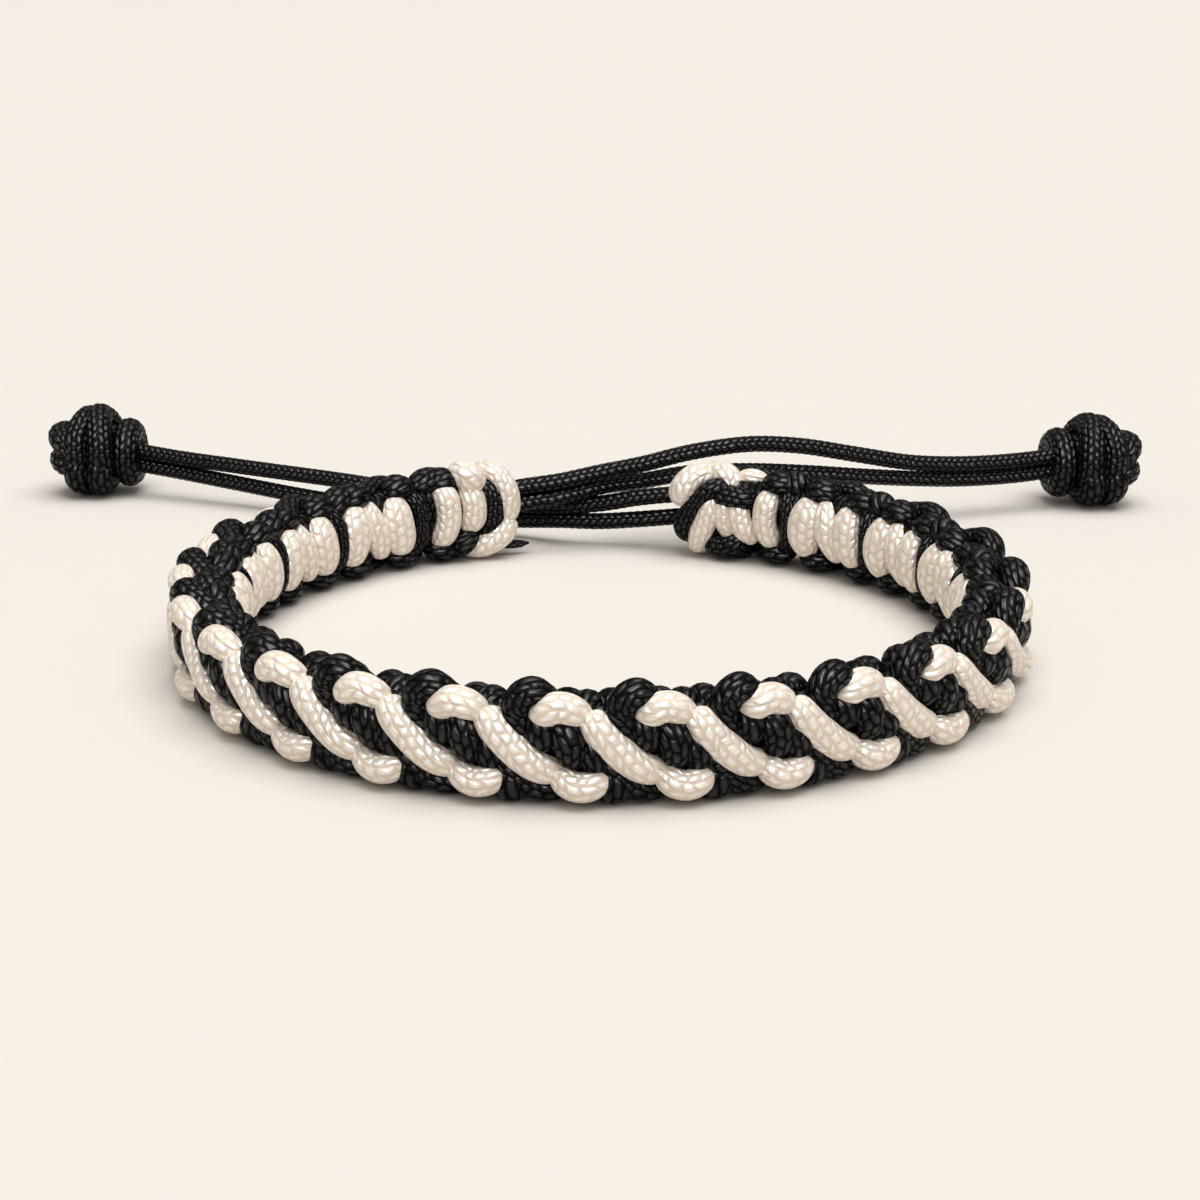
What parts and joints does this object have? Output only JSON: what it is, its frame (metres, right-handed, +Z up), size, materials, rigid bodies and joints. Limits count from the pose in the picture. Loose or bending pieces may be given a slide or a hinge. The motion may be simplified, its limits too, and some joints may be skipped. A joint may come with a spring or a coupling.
{
  "type": "woven cord bracelet",
  "caption": "Adjustable knotted bracelet of black and ivory braided cord: an open woven ring whose paired tie cords cross the gap at the back and end in button knots.",
  "frame": {"origin": "middle of the ring, on the surface that its lower edge stands on", "axes": "+Z up along the axis of the wrist opening, -Y towards the front of the woven band, +Y towards the gap and the tie cords, +X to the right seen from the front"},
  "size_m": [0.1159, 0.0956, 0.01],
  "materials": {
    "black_cord": "satin braided nylon cord, near black",
    "ivory_cord": "satin braided nylon cord, warm ivory",
    "tie_cord": "satin braided nylon cord, near black, thinner"
  },
  "bodies": {
    "root": {"black_weave": "black_cord", "cream_weave": "ivory_cord", "tie_cord_left_upper": "tie_cord", "tie_cord_left_lower": "tie_cord", "tie_cord_right_upper": "tie_cord", "tie_cord_right_lower": "tie_cord", "left_knot": "black_cord", "right_knot": "black_cord"}
  },
  "joints": []
}
